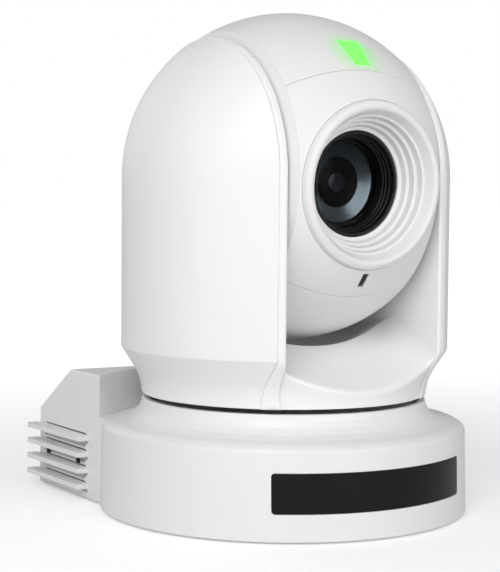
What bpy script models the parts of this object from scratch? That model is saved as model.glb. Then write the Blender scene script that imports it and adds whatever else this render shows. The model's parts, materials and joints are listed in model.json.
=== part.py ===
"""PTZ camera: a zoom camera head that tilts in a two-armed yoke, on a base that the yoke pans on.

Metres, +Z up. The origin is on the pan axis in the plane of the bottom plate. The base's front faces -Y, and at
rest the yoke is panned a few degrees from it and the head looks a little down.
"""

import math

import bmesh
import bpy
from mathutils import Matrix, Vector

# Driving dimensions
GAP = 0.0003
WALL = 0.0024
BASE_RADIUS = 0.090
BASE_RIM_HEIGHT = 0.0405
NECK_RING_RADIUS = 0.0695
NECK_RING_TOP = 0.0535
YOKE_BOTTOM = 0.0558
NECK_RADIUS = 0.0699
BODY_RADIUS = 0.080
BODY_CREASE_HEIGHT = 0.0784
TILT_HEIGHT = 0.161
ARM_INNER = 0.0435
ARM_SEAM = 0.0473
ARM_FRONT = 0.0652
NECK_RECESS = 0.0013
POCKET_RADIUS = 0.0855
SCOOP_BACK = (-0.0100, 0.0895)
SCOOP_FRONT = (-0.0850, 0.0558)
SCOOP_TROUGH_RADIUS = 0.162
CAVITY_RADIUS = 0.045
CAVITY_TOP = 0.0705
HEAD_RADIUS = 0.0792
HEAD_HALF_WIDTH = 0.0398
HEAD_SIDE = 0.0429
HEAD_TILT_AT_REST = math.radians(3.5)
PAN_AT_REST = math.radians(2.9)
SEAM_OFFSET = 0.020
SEAM_ANGLE = math.radians(34.5)
LENS_APERTURE = 0.0246
BLOCK_SIDE = Vector((0.0815, 0.040, 0.0))
BLOCK_SIDE_NORMAL = Vector((1.0, -0.0275, 0.0127))
BLOCK_HOLLOW_HALF_WIDTH = 0.0778
BLOCK_REAR = 0.1105
BLOCK_REAR_HEIGHT = 0.0396
BLOCK_TOP = 0.063
BLOCK_TOP_REAR = 0.0745
BLOCK_FRONT_ARC = 0.1178
BLOCK_FRONT_ARC_CENTRE = -0.045
PANEL_FRONT = 0.101
PANEL_THICKNESS = 0.0016
FIN_HEIGHTS = (0.0080, 0.0160, 0.0240, 0.0320)
FIN_THICKNESS = 0.0024
VENT_FACE = 0.0812
VENT_PLATE_THICKNESS = 0.0022
WINDOW_LOW = 0.0127
WINDOW_HIGH = 0.0303
WINDOW_HALF_WIDTH = 0.0509
BEARING_HOLE = 0.0243
SHAFT_RADIUS = 0.015
PAN_PULLEY_RADIUS = 0.032
TILT_PULLEY_RADIUS = 0.026
MOTOR_PULLEY_RADIUS = 0.007
PAN_MOTOR_PLACE = Vector((0.034, -0.034, 0.0))
TILT_MOTOR_DROP = 0.046
BELT_THICKNESS = 0.0012

# Sides of the turned pieces
LARGE_ROUND = 48
MEDIUM_ROUND = 24
SMALL_ROUND = 16

FORWARD = Matrix.Rotation(math.radians(90), 4, "X")
SIDEWAYS = Matrix.Rotation(math.radians(90), 4, "Y")
UPRIGHT = Matrix.Identity(4)


def clear_scene():
    for obj in list(bpy.data.objects):
        bpy.data.objects.remove(obj)


def new_collection(name):
    made = bpy.data.collections.new(name)
    bpy.context.scene.collection.children.link(made)
    return made


def new_material(name, colour, roughness, metallic=0.0):
    made = bpy.data.materials.new(name)
    made.use_nodes = True
    shader = made.node_tree.nodes["Principled BSDF"]
    shader.inputs["Base Color"].default_value = (*colour, 1.0)
    shader.inputs["Roughness"].default_value = roughness
    shader.inputs["Metallic"].default_value = metallic
    return made


def new_body(name, place, pan=0.0, tilt=0.0):
    """An empty on a joint's axis, which the pieces of one moving body are parented to."""
    made = bpy.data.objects.new(name, None)
    made.location = place
    made.rotation_euler = (tilt, 0.0, pan)
    parts.objects.link(made)
    return made


def new_piece(name, mesh, body, material, matrix=UPRIGHT):
    """A named piece of the camera or, with no material, a cutter."""
    made = bpy.data.objects.new(name, mesh)
    if material is None:
        cutters.objects.link(made)
        made.hide_render = True
        made.display_type = "WIRE"
    else:
        parts.objects.link(made)
        mesh.materials.append(material)
    made.parent = body
    made.matrix_local = matrix
    return made


def mesh_from(name, shape):
    mesh = bpy.data.meshes.new(name)
    shape.to_mesh(mesh)
    shape.free()
    return mesh


def box(name, low, high, body, material=None, bevel=0.0):
    size = Vector(high) - Vector(low)
    middle = (Vector(high) + Vector(low)) / 2
    shape = bmesh.new()
    bmesh.ops.create_cube(shape, size=1.0, matrix=Matrix.Translation(middle) @ Matrix.Diagonal((*size, 1.0)))
    made = new_piece(name, mesh_from(name, shape), body, material)
    if bevel:
        rounding = made.modifiers.new("Rounding", "BEVEL")
        rounding.width = bevel
        rounding.segments = 1
    return made


def rod(name, start, end, radius, body, material=None, sides=SMALL_ROUND):
    """A cylinder between two points."""
    start, end = Vector(start), Vector(end)
    along = end - start
    matrix = Matrix.Translation((start + end) / 2) @ along.to_track_quat("Z", "Y").to_matrix().to_4x4()
    shape = bmesh.new()
    bmesh.ops.create_cone(
        shape, cap_ends=True, segments=sides, radius1=radius, radius2=radius, depth=along.length, matrix=matrix
    )
    mesh = mesh_from(name, shape)
    mesh.shade_smooth()
    mesh.set_sharp_from_angle(angle=math.radians(40))
    return new_piece(name, mesh, body, material)


def turned(name, profile, body, material=None, matrix=UPRIGHT, sides=MEDIUM_ROUND, ring=True):
    """A profile of (radius, height) points turned about Z. A ring's profile is a closed loop."""
    shape = bmesh.new()
    points = [shape.verts.new((radius, 0.0, height)) for radius, height in profile]
    for first, second in zip(points, points[1:]):
        shape.edges.new((first, second))
    if ring:
        shape.edges.new((points[-1], points[0]))
    made = new_piece(name, mesh_from(name, shape), body, material, matrix)
    screw = made.modifiers.new("Turn", "SCREW")
    screw.steps = sides
    screw.render_steps = sides
    screw.use_smooth_shade = True
    screw.use_merge_vertices = not ring
    screw.merge_threshold = 0.00001
    return made


def extruded(name, outlines, thickness, matrix, body, material=None):
    """Closed outlines in the XY plane, the first the outer one, extruded along Z about that plane."""
    curve = bpy.data.curves.new(name, "CURVE")
    curve.dimensions = "2D"
    curve.fill_mode = "BOTH"
    curve.extrude = thickness / 2
    for outline in outlines:
        spline = curve.splines.new("POLY")
        spline.points.add(len(outline) - 1)
        spline.use_cyclic_u = True
        for point, (across, up) in zip(spline.points, outline):
            point.co = (across, up, 0.0, 1.0)
    guide = bpy.data.objects.new(name + "_guide", curve)
    cutters.objects.link(guide)
    graph = bpy.context.evaluated_depsgraph_get()
    mesh = bpy.data.meshes.new_from_object(guide.evaluated_get(graph))
    bpy.data.objects.remove(guide)
    shape = bmesh.new()
    shape.from_mesh(mesh)
    bmesh.ops.remove_doubles(shape, verts=shape.verts, dist=0.000001)
    bmesh.ops.recalc_face_normals(shape, faces=shape.faces)
    shape.to_mesh(mesh)
    shape.free()
    return new_piece(name, mesh, body, material, matrix)


def ball(name, centre, radius, body, sides=LARGE_ROUND):
    shape = bmesh.new()
    bmesh.ops.create_uvsphere(
        shape, u_segments=sides, v_segments=sides // 2, radius=radius, matrix=Matrix.Translation(centre)
    )
    return new_piece(name, mesh_from(name, shape), body, None)


def half_space(name, point, normal, body):
    """A big cube that fills the side of a plane which its normal points to."""
    reach = 0.3
    normal = normal.normalized()
    shape = bmesh.new()
    bmesh.ops.create_cube(shape, size=reach)
    turn = normal.to_track_quat("Z", "X").to_matrix().to_4x4()
    place = Matrix.Translation(point + normal * reach / 2) @ turn
    return new_piece(name, mesh_from(name, shape), body, None, place)


def combine(piece, tool, operation="DIFFERENCE"):
    modifier = piece.modifiers.new(operation.title(), "BOOLEAN")
    modifier.operation = operation
    modifier.solver = "EXACT"
    modifier.object = tool


def cut(piece, *tools):
    for tool in tools:
        combine(piece, tool, "DIFFERENCE")


def keep_inside(piece, *tools):
    for tool in tools:
        combine(piece, tool, "INTERSECT")


def join(piece, *tools):
    for tool in tools:
        combine(piece, tool, "UNION")


def arc(centre, radius, start, end, steps):
    """Points from one angle to another, in degrees."""
    angles = [math.radians(start + (end - start) * step / steps) for step in range(steps + 1)]
    return [(centre[0] + radius * math.cos(a), centre[1] + radius * math.sin(a)) for a in angles]


def rounded(corners, radius, steps=3):
    """An outline whose corners are arcs of one radius."""
    outline = []
    for index, corner in enumerate(corners):
        corner = Vector(corner)
        before = (Vector(corners[index - 1]) - corner).normalized()
        after = (Vector(corners[(index + 1) % len(corners)]) - corner).normalized()
        half = before.angle(after) / 2
        centre = corner + (before + after).normalized() * (radius / math.sin(half))
        start = corner + before * (radius / math.tan(half)) - centre
        end = corner + after * (radius / math.tan(half)) - centre
        turn = start.angle_signed(end)
        for step in range(steps + 1):
            angle = -turn * step / steps
            across = start.x * math.cos(angle) - start.y * math.sin(angle)
            up = start.x * math.sin(angle) + start.y * math.cos(angle)
            outline.append((centre.x + across, centre.y + up))
    return outline


def rectangle(half_width, half_height, across=0.0, up=0.0):
    return [
        (across - half_width, up - half_height),
        (across + half_width, up - half_height),
        (across + half_width, up + half_height),
        (across - half_width, up + half_height),
    ]


def belt_outline(large, small, distance, extra):
    """A loop round two pulleys, the large one at the origin and the small one at +X."""
    lean = math.degrees(math.acos((large - small) / distance))
    around_large = arc((0.0, 0.0), large + extra, lean, 360 - lean, 18)
    around_small = arc((distance, 0.0), small + extra, -lean, lean, 6)
    return around_large + around_small


def neck_profile(inset=0.0):
    """The yoke's waist from the crease under the covers' straight side down to its bottom edge."""
    waist = [
        (BODY_RADIUS, BODY_CREASE_HEIGHT),
        (0.0737, 0.0686),
        (0.0719, 0.0654),
        (0.0707, 0.0620),
        (0.0700, 0.0585),
        (NECK_RADIUS, YOKE_BOTTOM),
    ]
    return [(radius - inset, height) for radius, height in waist]


def bullet_profile(inset=0.0, steps=7):
    """The whole outside of the yoke: dome, straight side and waist, from the top down."""
    dome = arc((0.0, TILT_HEIGHT), BODY_RADIUS - inset, 90, 0, steps)
    dome[0] = (0.0, dome[0][1])
    return dome + neck_profile(inset)


def base_outside(extra=0.0):
    """The outside of the round base, from the neck ring down to the bottom."""
    shoulder = [(0.0702, 0.0506), (0.0718, 0.0476), (0.0754, 0.0450), (0.0800, 0.0434)]
    rim = [(0.0851, 0.0426), (0.0890, BASE_RIM_HEIGHT), (BASE_RADIUS, 0.0)]
    outside = [(NECK_RING_RADIUS, NECK_RING_TOP)] + shoulder + rim
    return [(radius + extra, height + extra / 2) for radius, height in outside]


def make_base_housing():
    inside = [
        (0.0868, 0.0),
        (0.0863, 0.0386),
        (0.0836, 0.0402),
        (0.0750, 0.0412),
        (0.0660, 0.0465),
        (BEARING_HOLE, 0.0465),
        (BEARING_HOLE, 0.0500),
        (0.0665, 0.0500),
        (0.0665, NECK_RING_TOP),
    ]
    housing = turned("base_housing", base_outside() + inside, base, shell_white, sides=LARGE_ROUND)
    passage = box("housing_passage", (-0.050, 0.060, 0.003), (0.050, 0.100, 0.0375), base)
    cut(housing, passage, window_tool("window_recess", 0.0013, GAP))


def window_tool(name, depth, grow, material=None):
    """The curved strip of the front window, cut from a turned ring by a rounded outline."""
    slope = (BASE_RADIUS - 0.0890) / BASE_RIM_HEIGHT
    top, low = WINDOW_HIGH + 0.003, WINDOW_LOW - 0.003
    outside = 0.0 if material else 0.001
    profile = [
        (BASE_RADIUS - slope * top - depth, top),
        (BASE_RADIUS - slope * top + outside, top),
        (BASE_RADIUS - slope * low + outside, low),
        (BASE_RADIUS - slope * low - depth, low),
    ]
    strip = turned(name, profile, base, material, sides=LARGE_ROUND)
    half_height = (WINDOW_HIGH - WINDOW_LOW) / 2
    outline = rectangle(WINDOW_HALF_WIDTH + grow, half_height + grow, up=half_height + WINDOW_LOW)
    place = Matrix.Translation((0.0, -0.070, 0.0)) @ FORWARD
    keep_inside(strip, extruded(name + "_outline", [rounded(outline, 0.001)], 0.060, place, base))
    return strip


def make_bottom():
    plate = rod("bottom_plate", (0, 0, 0), (0, 0, WALL), 0.0864, base, dark_steel, sides=LARGE_ROUND)
    socket_place = Vector((0.0, -0.030, 0.0))
    cut(plate, rod("socket_hole", socket_place - Vector((0, 0, 0.01)), socket_place + Vector((0, 0, 0.01)), 0.0063, base))
    socket = [(0.00318, 0.0090), (0.0085, 0.0090), (0.0085, 0.0027), (0.0060, 0.0027), (0.0060, 0.0), (0.00318, 0.0)]
    turned("tripod_socket", socket, base, brass, Matrix.Translation(socket_place), sides=SMALL_ROUND)
    rear_plate = box("rear_bottom_plate", (-0.0766, 0.035, 0.0), (0.0766, BLOCK_REAR - WALL - GAP, WALL), base, dark_steel)
    cut(rear_plate, rod("rear_plate_round", (0, 0, -0.01), (0, 0, 0.01), 0.0903, base, sides=LARGE_ROUND))
    feet = {
        "foot_front_left": (plate, -0.052, -0.050),
        "foot_front_right": (plate, 0.052, -0.050),
        "foot_rear_left": (rear_plate, -0.064, 0.092),
        "foot_rear_right": (rear_plate, 0.064, 0.092),
    }
    for name, (holder, across, along) in feet.items():
        rod(name, (across, along, -0.0007), (across, along, 0.0010), 0.0060, base, black_rubber)
        cut(holder, rod(name + "_pocket", (across, along, -0.001), (across, along, 0.0013), 0.0063, base))


def block_outline(inset):
    """The rear block from the side, as (along, up)."""
    slope_drop = inset * 0.45
    return [
        (0.030, -0.001 if inset else 0.0),
        (BLOCK_REAR - inset, -0.001 if inset else 0.0),
        (BLOCK_REAR - inset, BLOCK_REAR_HEIGHT - slope_drop),
        (BLOCK_TOP_REAR - slope_drop, BLOCK_TOP - inset),
        (0.030, BLOCK_TOP - inset),
    ]


def make_rear_housing():
    across = Matrix(((0, 0, 1, 0), (1, 0, 0, 0), (0, 1, 0, 0), (0, 0, 0, 1)))
    housing = extruded("rear_housing", [block_outline(0.0)], 0.180, across, base, shell_white)
    front_arc = rod(
        "block_front_arc", (0, BLOCK_FRONT_ARC_CENTRE, -0.01), (0, BLOCK_FRONT_ARC_CENTRE, 0.09),
        BLOCK_FRONT_ARC, base, sides=2 * LARGE_ROUND,
    )
    hollow = extruded("block_hollow", [block_outline(WALL)], 2 * BLOCK_HOLLOW_HALF_WIDTH, across, base)
    wall_arc = rod(
        "block_wall_arc", (0, BLOCK_FRONT_ARC_CENTRE, 0.040), (0, BLOCK_FRONT_ARC_CENTRE, 0.09),
        BLOCK_FRONT_ARC + WALL, base, sides=2 * LARGE_ROUND,
    )
    cut(hollow, wall_arc)
    above_rim = box("block_above_rim", (-0.1, 0.0, 0.0300), (0.1, 0.12, 0.09), base)
    keep_inside(front_arc, above_rim)
    around_base = base_outside(GAP) + [(0.0, -0.001)]
    around_base[-2] = (BASE_RADIUS + GAP, -0.001)
    round_base = turned(
        "round_base_space", [(0.0, NECK_RING_TOP + GAP)] + around_base, base, sides=LARGE_ROUND, ring=False
    )
    bay = box("connector_bay", (-0.066, 0.100, 0.0055), (0.066, 0.120, 0.0335), base)
    cut(housing, front_arc, round_base, hollow, bay)
    mirror = Vector((-1.0, 1.0, 1.0))
    cut(housing, half_space("block_right", BLOCK_SIDE, BLOCK_SIDE_NORMAL, base))
    cut(housing, half_space("block_left", BLOCK_SIDE * mirror, BLOCK_SIDE_NORMAL * mirror, base))
    for side in (-1, 1):
        low, high = sorted((side * 0.070, side * 0.095))
        cut(housing, box("vent_hole", (low, 0.0505, 0.0035), (high, 0.1045, 0.0375), base))


def make_side_vent(name, side):
    """A louvre with four fins on a slotted back plate, set into the rear housing's side."""
    low, high = sorted((side * VENT_FACE, side * (VENT_FACE - VENT_PLATE_THICKNESS)))
    plate = box(name, (low, 0.0508, 0.0038), (high, 0.1042, 0.0372), base, fin_white)
    root = side * (VENT_FACE - 0.0010)
    for height in FIN_HEIGHTS:
        outline = [
            (root, 0.0512),
            (side * 0.0868, 0.0522),
            (side * 0.0896, 0.1108),
            (side * 0.0838, 0.1108),
            (side * 0.0838, 0.1040),
            (root, 0.1040),
        ]
        place = Matrix.Translation((0.0, 0.0, height))
        join(plate, extruded("fin", [outline], FIN_THICKNESS, place, base))
    for height in FIN_HEIGHTS:
        slot_low = height + FIN_THICKNESS / 2 + 0.0003
        slot_ends = (0.0545, 0.1010)
        slot = box(
            "vent_slot", (side * 0.08 - 0.02, slot_ends[0], slot_low),
            (side * 0.08 + 0.02, slot_ends[1], slot_low + 0.0012), base,
        )
        cut(plate, slot)
    screw_name = name.replace("side_vent", "vent_screw")
    for place, along in (("front", 0.0620), ("rear", 0.0970)):
        centre = Vector((side * (VENT_FACE + GAP), along, 0.0205))
        screw = rod(
            f"{screw_name}_{place}", centre, centre + Vector((side * 0.0018, 0, 0)), 0.0014,
            base, black_steel, sides=12,
        )
        drive = rod(
            "screw_drive", centre + Vector((side * 0.0010, 0, 0)), centre + Vector((side * 0.003, 0, 0)), 0.0007, base,
            sides=6,
        )
        cut(screw, drive)


def make_ports():
    """The connector panel behind the bay, and the connectors that stand in its holes."""
    back = PANEL_FRONT + PANEL_THICKNESS
    panel = box("connector_panel", (-0.0760, PANEL_FRONT, 0.0030), (0.0760, back, 0.0400), base, dark_panel)
    square_ports = {
        "power_jack": (0.050, 0.0055, 0.0055, 0.0140, 0.0180),
        "network_port": (0.028, 0.0080, 0.0068, 0.0160, 0.0195),
        "hdmi_port": (-0.016, 0.0076, 0.0031, 0.0140, 0.0150),
    }
    sockets = {
        "power_jack": None,
        "network_port": (0.0059, 0.0042),
        "hdmi_port": (0.0069, 0.0022),
    }
    for name, (across, half_width, half_height, up, depth) in square_ports.items():
        front = back + 0.0034
        low = (across - half_width, front - depth, up - half_height)
        high = (across + half_width, front, up + half_height)
        port = box(name, low, high, base, port_black)
        hole_low = (low[0] - GAP, PANEL_FRONT - 0.001, low[2] - GAP)
        hole_high = (high[0] + GAP, back + 0.001, high[2] + GAP)
        cut(panel, box(name + "_hole", hole_low, hole_high, base))
        if sockets[name]:
            wide, tall = sockets[name]
            socket_low = (across - wide, front - 0.0095, up - tall)
            cut(port, box(name + "_socket", socket_low, (across + wide, front + 0.001, up + tall), base))
        else:
            ring = [(0.0031, front + 0.001), (0.0031, front - 0.009), (0.0011, front - 0.009), (0.0011, front + 0.001)]
            place = Matrix.Translation((across, 0.0, up)) @ FORWARD.inverted()
            cut(port, turned(name + "_socket", ring, base, matrix=place, sides=SMALL_ROUND))
    round_ports = {
        "sdi_port": (0.006, 0.0140, bnc_profile(), bright_steel),
        "genlock_port": (-0.036, 0.0140, bnc_profile(), bright_steel),
        "serial_port": (-0.0535, 0.0205, din_profile(), port_black),
        "audio_jack": (-0.0535, 0.0095, audio_profile(), port_black),
    }
    for name, (across, up, profile, finish) in round_ports.items():
        place = Matrix.Translation((across, back, up)) @ FORWARD.inverted()
        turned(name, profile, base, finish, place, sides=SMALL_ROUND, ring=False)
        barrel = max(radius for radius, height in profile if height < 0.0)
        start = (across, PANEL_FRONT - 0.002, up)
        cut(panel, rod(name + "_hole", start, (across, back + 0.001, up), barrel + GAP, base))


def bnc_profile():
    """A BNC socket as (radius, distance behind the panel's outer face): centre pin, barrel and nut."""
    return [
        (0.0, 0.0060), (0.0007, 0.0060), (0.0007, 0.0010), (0.0034, 0.0010), (0.0034, 0.0090), (0.0048, 0.0090),
        (0.0048, 0.0024), (0.0068, 0.0024), (0.0068, GAP), (0.0046, GAP), (0.0046, -0.0120), (0.0, -0.0120),
    ]


def din_profile():
    return [
        (0.0, 0.0005), (0.0040, 0.0005), (0.0040, 0.0040), (0.0055, 0.0040), (0.0055, GAP), (0.0052, GAP),
        (0.0052, -0.0110), (0.0, -0.0110),
    ]


def audio_profile():
    return [
        (0.0, -0.0080), (0.0018, -0.0080), (0.0018, 0.0030), (0.0038, 0.0030), (0.0038, GAP), (0.0034, GAP),
        (0.0034, -0.0100), (0.0, -0.0100),
    ]


def make_boards():
    box("main_board", (-0.048, 0.012, 0.0045), (0.048, 0.0785, 0.0061), base, board_green)
    sink = box("heat_sink", (-0.024, 0.030, 0.0065), (0.024, 0.072, 0.0095), base, aluminium)
    for index in range(7):
        across = -0.0225 + index * 0.0075
        join(sink, box("sink_fin", (across - 0.0008, 0.030, 0.009), (across + 0.0008, 0.072, 0.021), base))
    board = box("arm_board", (-0.0536, -0.034, 0.100), (-0.0520, 0.034, 0.190), yoke, board_green)
    for along in (-0.029, 0.029):
        for height in (0.105, 0.185):
            join(board, rod("standoff", (-0.0525, along, height), (-0.0476, along, height), 0.0025, yoke, sides=12))


def make_pan_drive():
    bearing = [(0.0153, 0.0520), (0.0240, 0.0520), (0.0240, 0.0440), (0.0153, 0.0440)]
    turned("pan_bearing", bearing, base, bright_steel)
    flange_top = CAVITY_TOP - GAP
    flange_low = flange_top - 0.0032
    shaft = [
        (0.0110, flange_top), (0.0300, flange_top), (0.0300, flange_low), (SHAFT_RADIUS, flange_low),
        (SHAFT_RADIUS, 0.0310), (0.0110, 0.0310),
    ]
    turned("pan_shaft", shaft, yoke, aluminium)
    pulley_low, pulley_high = 0.0330, 0.0400
    pulley = [
        (SHAFT_RADIUS + GAP, pulley_high), (PAN_PULLEY_RADIUS, pulley_high), (PAN_PULLEY_RADIUS, pulley_low),
        (SHAFT_RADIUS + GAP, pulley_low),
    ]
    turned("pan_pulley", pulley, yoke, aluminium)
    place = PAN_MOTOR_PLACE
    motor = rod("pan_motor", place + Vector((0, 0, 0.0045)), place + Vector((0, 0, 0.0305)), 0.014, base, black_steel)
    join(motor, rod("pan_motor_shaft", place + Vector((0, 0, 0.030)), place + Vector((0, 0, 0.042)), 0.0025, base))
    small = [
        (0.0028, pulley_high), (MOTOR_PULLEY_RADIUS, pulley_high), (MOTOR_PULLEY_RADIUS, pulley_low),
        (0.0028, pulley_low),
    ]
    turned("pan_motor_pulley", small, pan_motor_spin, brass, sides=SMALL_ROUND)
    lean = math.atan2(place.y, place.x)
    belt_place = Matrix.Translation((0, 0, (pulley_low + pulley_high) / 2)) @ Matrix.Rotation(lean, 4, "Z")
    make_belt("pan_belt", PAN_PULLEY_RADIUS, place.length, 0.0055, belt_place, base)


def make_belt(name, large, distance, width, matrix, body):
    loops = [
        belt_outline(large, MOTOR_PULLEY_RADIUS, distance, GAP + BELT_THICKNESS),
        belt_outline(large, MOTOR_PULLEY_RADIUS, distance, GAP),
    ]
    extruded(name, loops, width, matrix, body, black_rubber)


def make_yoke_frame():
    """Two arm plates that rise from a hollow waist, with a scoop in front of the head and a deck behind it."""
    frame = turned(
        "yoke_frame", bullet_profile() + [(0.0, YOKE_BOTTOM)], yoke, frame_white, sides=LARGE_ROUND, ring=False
    )
    across = Matrix(((0, 0, 1, 0), (1, 0, 0, 0), (0, 1, 0, 0), (0, 0, 0, 1)))
    top = arc((0.0, TILT_HEIGHT), ARM_FRONT, 0, 180, 24)
    tombstone = top + [(-ARM_FRONT, 0.050), (ARM_FRONT, 0.050)]
    keep_inside(frame, extruded("arm_outline", [tombstone], 2 * ARM_SEAM, across, yoke))
    cut(frame, box("between_arms", (-ARM_INNER, -0.1, 0.050), (ARM_INNER, 0.1, 0.25), yoke))
    join(frame, waist_core(across), turntable())
    cavity = rod("waist_cavity", (0, 0, 0.050), (0, 0, CAVITY_TOP), CAVITY_RADIUS, yoke, sides=MEDIUM_ROUND)
    axle_hole = rod("axle_hole", (-0.06, 0, TILT_HEIGHT), (0.06, 0, TILT_HEIGHT), 0.014, yoke, sides=24)
    cut(frame, cavity, axle_hole)


def waist_core(across):
    core_profile = [(0.0, 0.100), (BODY_RADIUS - NECK_RECESS, 0.100)]
    core_profile += neck_profile(NECK_RECESS) + [(0.0, YOKE_BOTTOM)]
    core = turned("waist_core", core_profile, yoke, sides=LARGE_ROUND, ring=False)
    half = ARM_INNER + 0.0006
    keep_inside(core, box("core_width", (-half, -0.1, 0.050), (half, 0.1, 0.12), yoke))
    back, front = Vector((0.0, *SCOOP_BACK)), Vector((0.0, *SCOOP_FRONT))
    rise = Vector((1.0, 0.0, 0.0)).cross(back - front).normalized() * SCOOP_TROUGH_RADIUS
    trough = rod("scoop", back + rise, front + rise, SCOOP_TROUGH_RADIUS, yoke, sides=4 * LARGE_ROUND)
    deck = [(0.0100, 0.1200), (0.0100, 0.0970), (0.0560, 0.0930), (0.0900, 0.0870), (0.0900, 0.1200)]
    cut(core, trough, extruded("rear_deck", [deck], 0.12, across, yoke))
    cut(core, ball("head_pocket", (0, 0, TILT_HEIGHT), POCKET_RADIUS, yoke))
    return core


def turntable():
    rim = NECK_RADIUS - WALL - GAP
    return rod("turntable", (0, 0, YOKE_BOTTOM), (0, 0, 0.0590), rim, yoke, sides=LARGE_ROUND)


def make_side_cover(name, side):
    outside = bullet_profile()
    inside = bullet_profile(WALL)
    cover = turned(name, outside + inside[::-1], yoke, cover_white, sides=LARGE_ROUND, ring=False)
    near, far = side * (ARM_SEAM + GAP), side * 0.1
    keep_inside(cover, box(name + "_half", (min(near, far), -0.1, 0.0), (max(near, far), 0.1, 0.3), yoke))


def make_tilt_drive():
    bearing = [(0.0083, 0.0495), (0.0137, 0.0495), (0.0137, 0.0441), (0.0083, 0.0441)]
    shaft = {"tilt_shaft_left": 0.0505, "tilt_shaft_right": 0.0590}
    for side, name in ((-1, "left"), (1, "right")):
        turn = SIDEWAYS if side > 0 else SIDEWAYS.inverted()
        turned("tilt_bearing_" + name, bearing, yoke, bright_steel, Matrix.Translation((0, 0, TILT_HEIGHT)) @ turn, SMALL_ROUND)
        end = shaft["tilt_shaft_" + name]
        profile = [
            (0.0045, end), (0.0080, end), (0.0080, 0.0408), (0.0140, 0.0408), (0.0140, 0.0380), (0.0045, 0.0380),
        ]
        turned("tilt_shaft_" + name, profile, head, bright_steel, turn, SMALL_ROUND)
    low, high = 0.0510, 0.0570
    pulley = [(0.0083, high), (TILT_PULLEY_RADIUS, high), (TILT_PULLEY_RADIUS, low), (0.0083, low)]
    turned("tilt_pulley", pulley, head, aluminium, SIDEWAYS, MEDIUM_ROUND)
    small = [(0.0028, high), (MOTOR_PULLEY_RADIUS, high), (MOTOR_PULLEY_RADIUS, low), (0.0028, low)]
    turned("tilt_motor_pulley", small, tilt_motor_spin, brass, SIDEWAYS, SMALL_ROUND)
    height = TILT_HEIGHT - TILT_MOTOR_DROP
    motor = rod("tilt_motor", (0.0601, 0, height), (0.0755, 0, height), 0.010, yoke, black_steel)
    join(motor, rod("tilt_motor_shaft", (0.0505, 0, height), (0.0610, 0, height), 0.0025, yoke))
    bracket = box("tilt_motor_bracket", (0.0580, -0.0225, height - 0.016), (0.0598, 0.0225, height + 0.016), yoke, aluminium)
    for along in (-0.0205, 0.0205):
        for up in (-0.014, 0.014):
            middle = Vector((0.0, along, height + up))
            low_corner = middle + Vector((0.0476, -0.002, -0.002))
            high_corner = middle + Vector((0.0585, 0.002, 0.002))
            join(bracket, box("bracket_post", low_corner, high_corner, yoke))
    cut(bracket, rod("bracket_hole", (0.055, 0, height), (0.062, 0, height), 0.0032, yoke))
    down = Matrix(((0, 0, 1, (low + high) / 2), (0, 1, 0, 0), (-1, 0, 0, TILT_HEIGHT), (0, 0, 0, 1)))
    make_belt("tilt_belt", TILT_PULLEY_RADIUS, TILT_MOTOR_DROP, 0.0050, down, yoke)


def seam_tool(name, side, offset):
    """Everything in front of one of the two slanting planes that part the front shell from the others."""
    normal = Vector((0.0, -math.cos(SEAM_ANGLE), -side * math.sin(SEAM_ANGLE)))
    return half_space(name, normal * offset, normal, head)


def barrel_shell(name, outer, inner, material=None):
    """The head's spherical shell between its two side plates, turned about the tilt axis."""
    lean = math.degrees(math.asin(HEAD_HALF_WIDTH / outer))
    inner_lean = math.degrees(math.asin(HEAD_HALF_WIDTH / inner))
    outside = arc((0, 0), outer, lean, -lean, 8)
    inside = arc((0, 0), inner, -inner_lean, inner_lean, 6)
    return turned(name, outside + inside, head, material, SIDEWAYS, LARGE_ROUND)


def make_head_shells():
    inner = HEAD_RADIUS - WALL
    front = barrel_shell("head_front_shell", HEAD_RADIUS, inner, head_white)
    half_gap = GAP / 2
    keep_inside(
        front,
        seam_tool("upper_seam_front", 1, SEAM_OFFSET + half_gap),
        seam_tool("lower_seam_front", -1, SEAM_OFFSET + half_gap),
    )
    ring_hole = rod("lens_ring_hole", (0, -0.1, 0), (0, -0.03, 0), 0.0386 + GAP, head, sides=LARGE_ROUND)
    cut(front, ring_hole)
    for name, side in (("head_upper_shell", 1), ("head_lower_shell", -1)):
        shell = barrel_shell(name, HEAD_RADIUS, inner, head_white)
        low, high = sorted((side * half_gap, side * 0.1))
        keep_inside(shell, box(name + "_half", (-0.1, -0.1, low), (0.1, 0.1, high), head))
        front_wedge = seam_tool(name + "_seam", side, SEAM_OFFSET - half_gap)
        keep_inside(front_wedge, seam_tool(name + "_other_seam", -side, SEAM_OFFSET - half_gap))
        cut(shell, front_wedge)
        if side > 0:
            make_tally_light(shell)
    make_microphone(front)
    for side, name in ((-1, "head_side_left"), (1, "head_side_right")):
        turn = SIDEWAYS if side > 0 else SIDEWAYS.inverted()
        dish = [
            (0.0093, HEAD_SIDE), (0.0646, HEAD_SIDE), (0.0658, 0.0423), (0.0682, 0.0401), (0.0655, 0.0401),
            (0.0640, 0.0411), (0.0093, 0.0411),
        ]
        turned(name, dish, head, head_white, turn, LARGE_ROUND)


def radial_place(angle, distance):
    """A frame on the head's surface, its Z pointing out at this angle above the lens axis."""
    out = Vector((0.0, -math.cos(angle), math.sin(angle)))
    up = Vector((0.0, math.sin(angle), math.cos(angle)))
    across = up.cross(out)
    turn = Matrix((across, up, out)).transposed().to_4x4()
    return Matrix.Translation(out * distance) @ turn


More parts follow.
